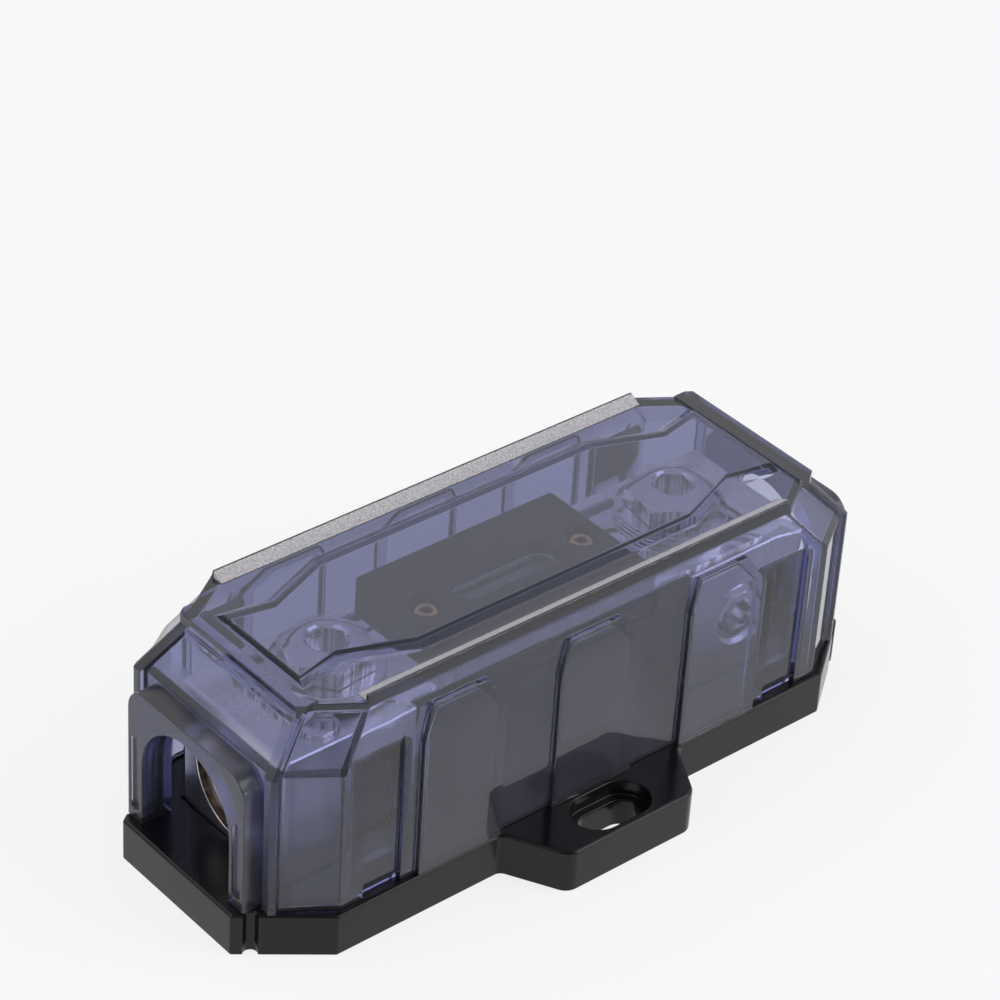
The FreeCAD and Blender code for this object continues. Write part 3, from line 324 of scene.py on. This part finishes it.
def block_finish():
    """The blocks' satin nickel, with turning rings, and in their cable bores a warmer tone that is made
    darker there as painted shade.
    """
    shader = Shader("block_nickel")
    bore = next(mount for mount in frame["record"]["mounts"] if mount["name"] == "cable_bore_left")
    x, y, z = shader.split(shader.place)
    radius = shader.distance(y, shader.math("SUBTRACT", z, bore["pos_m"][2]))
    near = shader.math("LESS_THAN", radius, BORE_REACH)
    wall = shader.math("MULTIPLY", near, shader.span(shader.level("X"), (0.97, 0.6)))
    streaks = shader.streaks()
    turning = shader.combine(x, shader.math("MULTIPLY", radius, 0.05))
    rings = shader.noise(2200.0, roughness=0.6, vector=turning)
    marks = shader.mix_number(wall, streaks, rings)
    plain = shader.shades(marks, toned(NICKEL, 0.94), NICKEL, (0.3, 0.65))
    # Painted shade: the bore walls take a warm tone that is darker than the nickel
    bore_tone_and_shade = shader.shades(rings, BORE_TONE_AND_SHADE_DARK, BORE_TONE_AND_SHADE_LIGHT, (0.35, 0.65))
    cloudy = shader.math("ADD", shader.math("MULTIPLY", streaks, 0.3), shader.noise(55.0))
    satin = shader.span(cloudy, (0.4, 0.9), (0.25, 0.32))
    turned = shader.span(rings, NOISE_SPREAD, (0.07, 0.16))
    shader.set(
        Base_Color=shader.mix(wall, plain, bore_tone_and_shade),
        Metallic=1.0,
        Roughness=shader.mix_number(wall, satin, turned),
        Normal=shader.bump(marks, 0.12 * MICRON, strength=0.6),
    )
    return shader.material


def strip_finish():
    """The fuse's strip: mirror-bright faces, beads of shear marks along its cut edges, dull in the case and
    coloured dark grey there as painted shade.
    """
    shader = Shader("bright_strip")
    case_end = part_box("fuse_body_upper")[1][0]
    inside = shader.math("LESS_THAN", shader.math("ABSOLUTE", shader.split(shader.place)["X"]), case_end)
    flat = shader.span(shader.level("Z"), (0.6, 0.9))
    beads = shader.noise(1.0, detail=2.0, vector=shader.stretch(*SHEAR_MARKS))
    clouds = shader.noise(120.0)
    cut = shader.shades(beads, SHEARED_DARK, NICKEL, (0.42, 0.56))
    face = shader.shades(clouds, toned(NICKEL, 0.95), NICKEL)
    # Painted shade: the strip inside the case is coloured dark grey
    shaded_in_case = shader.shades(clouds, CASE_SHADE_DARK, CASE_SHADE_LIGHT)
    cut_gloss = shader.span(beads, NOISE_SPREAD, (0.12, 0.3))
    face_gloss = shader.span(clouds, NOISE_SPREAD, (0.03, 0.08))
    dull_gloss = shader.span(clouds, NOISE_SPREAD, (0.35, 0.5))
    relief = shader.math("MULTIPLY", beads, shader.math("SUBTRACT", 1.0, flat))
    shader.set(
        Base_Color=shader.mix(inside, shader.mix(flat, cut, face), shaded_in_case),
        Metallic=1.0,
        Roughness=shader.mix_number(inside, shader.mix_number(flat, cut_gloss, face_gloss), dull_gloss),
        Normal=shader.bump(relief, 1.5 * MICRON, strength=0.5),
    )
    return shader.material


def turned_bright(name, centre, color, roughness):
    """Bright plate on a piece with an upright axis: turning rings on top, streaks down its sides."""
    shader = Shader(name)
    x, y, z = shader.split(shader.shift((-centre[0], -centre[1], 0.0)))
    turning = shader.combine(shader.distance(x, y), z=shader.math("MULTIPLY", z, 0.02))
    rings = shader.noise(2400.0, roughness=0.6, vector=turning)
    streaks = shader.streaks()
    flat = shader.span(shader.level("Z"), (0.45, 0.75))
    marks = shader.mix_number(flat, streaks, rings)
    grooves = shader.shades(streaks, toned(color, 0.3), color, (0.4, 0.56))
    crown = shader.shades(rings, toned(color, 0.9), color, (0.3, 0.62))
    shader.set(
        Base_Color=shader.mix(flat, grooves, crown),
        Metallic=1.0,
        Roughness=shader.span(marks, (0.3, 0.75), (roughness * 0.75, roughness * 1.5)),
        Normal=shader.bump(marks, 0.9 * MICRON, strength=0.7),
    )
    return shader.material


def polished(name, color, roughness):
    """Bright plate on a turned or pressed piece: slight waviness and faint fingering in the gloss."""
    shader = Shader(name)
    clouds = shader.noise(160.0, detail=4.0)
    fine = shader.noise(1500.0, detail=2.0)
    smears = shader.math("ADD", clouds, shader.math("MULTIPLY", fine, 0.4))
    scuffs = shader.bump(fine, 0.75 * MICRON, strength=0.5)
    shader.set(
        Base_Color=shader.shades(clouds, toned(color, 0.93), color),
        Metallic=1.0,
        Roughness=shader.span(smears, (0.4, 1.0), (roughness * 0.7, roughness * 1.4)),
        Normal=shader.bump(clouds, 20.0 * MICRON, strength=0.5, normal=scuffs),
    )
    return shader.material


def clear_pane():
    """The fuse window's clear plastic, with a trace of haze."""
    shader = Shader("clear_pane")
    haze = shader.noise(700.0)
    shader.set(
        Base_Color=shader.shades(haze, PANE_DARK, PANE_LIGHT),
        Transmission_Weight=1.0,
        IOR=ACRYLIC_IOR,
        Roughness=shader.span(haze, (0.3, 0.8), (0.01, 0.09)),
    )
    shader.let_lamps_through(PANE_TINT)
    return shader.material


def smoky_cover():
    """Smoky violet-blue clear plastic, with a grained slope inside each rail and satin ends and hoods."""
    shader = Shader("smoky_cover")
    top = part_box("cover")[1][2]
    x, y, z = shader.split(shader.place)
    out = shader.math("ABSOLUTE", y)
    rail = shader.math("MULTIPLY", shader.math("GREATER_THAN", out, RAIL_FROST_START),
                       shader.math("LESS_THAN", out, RAIL_FROST_END))
    frost = shader.math("MULTIPLY", rail, shader.math("GREATER_THAN", z, top - RAIL_FROST_DROP))
    satin = shader.math("GREATER_THAN", shader.math("ABSOLUTE", x), SATIN_START)
    flow = shader.noise(26.0, vector=shader.stretch(x=0.6))
    fine = shader.noise(3200.0, detail=2.0)
    grain = shader.noise(4200.0, roughness=0.7)
    clear = shader.shades(flow, COVER_DARK, COVER_LIGHT)
    frosted = shader.shades(grain, RAIL_DARK, RAIL_LIGHT, (0.35, 0.6))
    clear_gloss = shader.span(flow, (0.3, 0.75), (0.01, 0.035))
    satin_gloss = shader.span(flow, (0.3, 0.75), (0.2, 0.3))
    smooth_gloss = shader.mix_number(satin, clear_gloss, satin_gloss)
    frosted_gloss = shader.span(grain, NOISE_SPREAD, (0.35, 0.6))
    height = shader.math("ADD", shader.math("MULTIPLY", fine, COVER_TEXTURE),
                         shader.math("MULTIPLY", grain, frost))
    waves = shader.bump(flow, 25.0 * MICRON, strength=0.5)
    shader.set(
        Base_Color=shader.mix(frost, clear, frosted),
        Transmission_Weight=shader.mix_number(frost, COVER_CLARITY, RAIL_CLARITY),
        IOR=COVER_IOR,
        Roughness=shader.mix_number(frost, smooth_gloss, frosted_gloss),
        Normal=shader.bump(height, 25.0 * MICRON, strength=0.8, normal=waves),
    )
    shader.let_lamps_through(COVER_TINT)
    depth = shader.add("ShaderNodeVolumeAbsorption")
    shader.feed(depth.inputs["Color"], (*COVER_DEPTH, 1.0))
    shader.feed(depth.inputs["Density"], COVER_DENSITY)
    shader.feed(shader.output.inputs["Volume"], depth.outputs["Volume"])
    return shader.material


# Pieces


def body_of(node):
    """The name of the body that carries a node."""
    bodies = frame["record"]["behaviour"]["bodies"]
    return next(body for body, nodes in bodies.items() if node in nodes)


def joined_flats(node):
    """A copy of a node's mesh, each flat region joined and then cut into few faces of up to four corners."""
    mesh = bpy.data.meshes.new(f"{node}_finish")
    shape = bmesh.new()
    shape.from_mesh(frame["nodes"][node].data)
    bmesh.ops.remove_doubles(shape, verts=shape.verts, dist=MERGE)
    bmesh.ops.dissolve_limit(shape, angle_limit=FLAT_ANGLE, verts=shape.verts, edges=shape.edges)
    outlines = [face for face in shape.faces if len(face.verts) > 4]
    bmesh.ops.triangulate(shape, faces=outlines, ngon_method="BEAUTY")
    for face in shape.faces:
        face.smooth = True
        face.material_index = 0
    shape.to_mesh(mesh)
    shape.free()
    return mesh


def flat_areas(shape):
    """For each face, the whole area of the flat region that it is in."""
    areas = {}
    for start in shape.faces:
        if start in areas:
            continue
        region, waiting = {start}, [start]
        while waiting:
            for edge in waiting.pop().edges:
                for face in edge.link_faces:
                    level = face not in region and face.normal.angle(start.normal, 1.0) < FLAT_ANGLE
                    if level and face not in areas:
                        region.add(face)
                        waiting.append(face)
        whole = sum(face.calc_area() for face in region)
        areas.update((face, whole) for face in region)
    return areas


def keep_flats_flat(mesh):
    """Gives each point the mean normal of its faces, weighted by their flat regions' whole areas."""
    shape = bmesh.new()
    shape.from_mesh(mesh)
    areas = flat_areas(shape)
    normals = []
    for vertex in shape.verts:
        pull = Vector()
        for loop in vertex.link_loops:
            pull += loop.face.normal * (areas[loop.face] * loop.calc_angle())
        normals.append(pull.normalized() if pull.length else vertex.normal.copy())
    shape.free()
    mesh.normals_split_custom_set_from_vertices(normals)


def bevelled(mesh, width, segments):
    """The mesh with its sharp edges rounded, and its flats kept flat up to them."""
    draft = bpy.data.objects.new("draft", mesh)
    bpy.context.scene.collection.objects.link(draft)
    bevel = draft.modifiers.new("edges", "BEVEL")
    bevel.width = width
    bevel.segments = segments
    bevel.limit_method = "ANGLE"
    bevel.angle_limit = SHARP_ANGLE
    bevel.use_clamp_overlap = False
    bevel.loop_slide = False
    evaluated = draft.evaluated_get(bpy.context.evaluated_depsgraph_get())
    finished = bpy.data.meshes.new_from_object(evaluated)
    bpy.data.objects.remove(draft)
    keep_flats_flat(finished)
    return finished


def finish_node(kind, material, ending=""):
    """A copy of a node with its sharp edges rounded and a material of its own, which stands for it."""
    node = kind + ending
    mesh = bevelled(joined_flats(node), *EDGES[kind])
    mesh.materials.clear()
    mesh.materials.append(material)
    piece = bpy.data.objects.new(f"{node}_finish", mesh)
    bpy.context.scene.collection.objects.link(piece)
    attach(piece, body_of(node))
    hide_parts(node)


def paint_node(node, material):
    """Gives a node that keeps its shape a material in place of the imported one."""
    materials = frame["nodes"][node].data.materials
    materials.clear()
    materials.append(material)


def bolt_finish(side):
    """Bright nickel turned about one fuse bolt's own axis."""
    low, high = (Vector(corner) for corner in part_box(f"fuse_bolt_{side}"))
    return turned_bright(f"bolt_nickel_{side}", (low + high) / 2, NICKEL, 0.12)


def add_pieces():
    finish_node("base", moulded_black("black_base", BASE_BLACK, 0.17, 2.0 * MICRON))
    block_nickel = block_finish()
    washer_nickel = polished("washer_nickel", NICKEL, 0.1)
    brass = polished("brass", BRASS, 0.16)
    zinc = polished("zinc", ZINC, 0.3)
    for side in SIDES:
        finishes = {
            "terminal_block": block_nickel,
            "flat_washer": washer_nickel,
            "spring_washer": washer_nickel,
            "fuse_bolt": bolt_finish(side),
            "set_screw": washer_nickel,
            "fuse_rivet": brass,
            "block_screw": zinc,
        }
        for kind, material in finishes.items():
            finish_node(kind, material, f"_{side}")
    finish_node("fuse_element", strip_finish())
    case = moulded_black("fuse_case", CASE_BLACK, 0.32, 4.0 * MICRON)
    pane = clear_pane()
    for half in ("upper", "lower"):
        finish_node("fuse_body", case, f"_{half}")
        paint_node(f"fuse_window_{half}", pane)
    finish_node("cover", smoky_cover())


# Floor, light and camera


def add_floor():
    """A pale floor that takes the object's shadow and looks almost white, in reflections too."""
    mesh = bpy.data.meshes.new("floor")
    corners = [(x * FLOOR_REACH, y * FLOOR_REACH, 0.0) for x, y in ((-1, -1), (1, -1), (1, 1), (-1, 1))]
    mesh.from_pydata(corners, [], [(0, 1, 2, 3)])
    floor = bpy.data.objects.new("floor", mesh)
    bpy.context.scene.collection.objects.link(floor)
    shader = Shader("floor")
    shader.set(
        Base_Color=shader.shades(shader.noise(3.0), FLOOR_DARK, FLOOR_LIGHT),
        Roughness=0.9,
        Specular_IOR_Level=0.1,
    )
    rays = shader.add("ShaderNodeLightPath").outputs
    through = shader.math("MAXIMUM", rays["Is Glossy Ray"], rays["Is Transmission Ray"])
    seen = shader.math("MAXIMUM", rays["Is Camera Ray"], through)
    glow = shader.add("ShaderNodeEmission")
    shader.feed(glow.inputs["Color"], (*WHITE, 1.0))
    share = shader.math("MULTIPLY", seen, FLOOR_GLOW)
    mixed = shader.mix_shader(share, shader.surface.outputs["BSDF"], glow.outputs["Emission"])
    shader.feed(shader.output.inputs["Surface"], mixed)
    mesh.materials.append(shader.material)


def add_world():
    """White behind the object and through clear pieces, and in reflections dimmer away from the back."""
    world = bpy.data.worlds.new("studio")
    bpy.context.scene.world = world
    world.use_nodes = True
    graph = Graph(world.node_tree)
    along = graph.add("ShaderNodeVectorMath", operation="DOT_PRODUCT")
    graph.feed(along.inputs[0], graph.add("ShaderNodeTexCoord").outputs["Generated"])
    graph.feed(along.inputs[1], STUDIO_BACK)
    studio = graph.span(along.outputs["Value"], STUDIO_FADE, (STUDIO_DIM, 1.0), "SMOOTHSTEP")
    rays = graph.add("ShaderNodeLightPath").outputs
    seen = graph.math("MAXIMUM", rays["Is Camera Ray"], rays["Is Transmission Ray"])
    reflected = graph.mix_number(rays["Is Glossy Ray"], WORLD_LEVEL, studio)
    background = world.node_tree.nodes["Background"]
    graph.feed(background.inputs["Color"], (*WHITE, 1.0))
    graph.feed(background.inputs["Strength"], graph.mix_number(seen, reflected, 1.0))


def add_softbox(name, place, target, width, height, power):
    light = bpy.data.lights.new(name, "AREA")
    light.shape = "RECTANGLE"
    light.size, light.size_y = width, height
    light.energy = power
    lamp = bpy.data.objects.new(name, light)
    bpy.context.scene.collection.objects.link(lamp)
    lamp.location = place
    lamp.rotation_euler = (Vector(target) - Vector(place)).to_track_quat("-Z", "Y").to_euler()


def add_lamps():
    """A key at the right front, a low one for the lifted cover's front, and gentle ones left and behind."""
    add_softbox("key", (0.6, -0.66, 0.64), MIDDLE, width=0.8, height=0.6, power=4.0)
    add_softbox("low", (0.66, -0.88, 0.12), LIFTED_COVER, width=0.5, height=0.14, power=1.4)
    add_softbox("left", (-0.9, 0.1, 0.6), MIDDLE, width=0.6, height=0.8, power=2.0)
    add_softbox("back", (-0.55, 0.8, 0.7), MIDDLE, width=1.0, height=0.8, power=2.0)


def add_camera():
    data = bpy.data.cameras.new("camera")
    data.sensor_width = SENSOR
    data.lens = CAMERA_LENS
    data.clip_start, data.clip_end = CLIP_NEAR, CLIP_FAR
    camera = bpy.data.objects.new("camera", data)
    bpy.context.scene.collection.objects.link(camera)
    camera.location = CAMERA_PLACE
    camera.rotation_euler = CAMERA_TURN
    bpy.context.scene.camera = camera


add_pieces()
add_floor()
add_world()
add_lamps()
add_camera()
bpy.context.scene.view_settings.view_transform = "Standard"
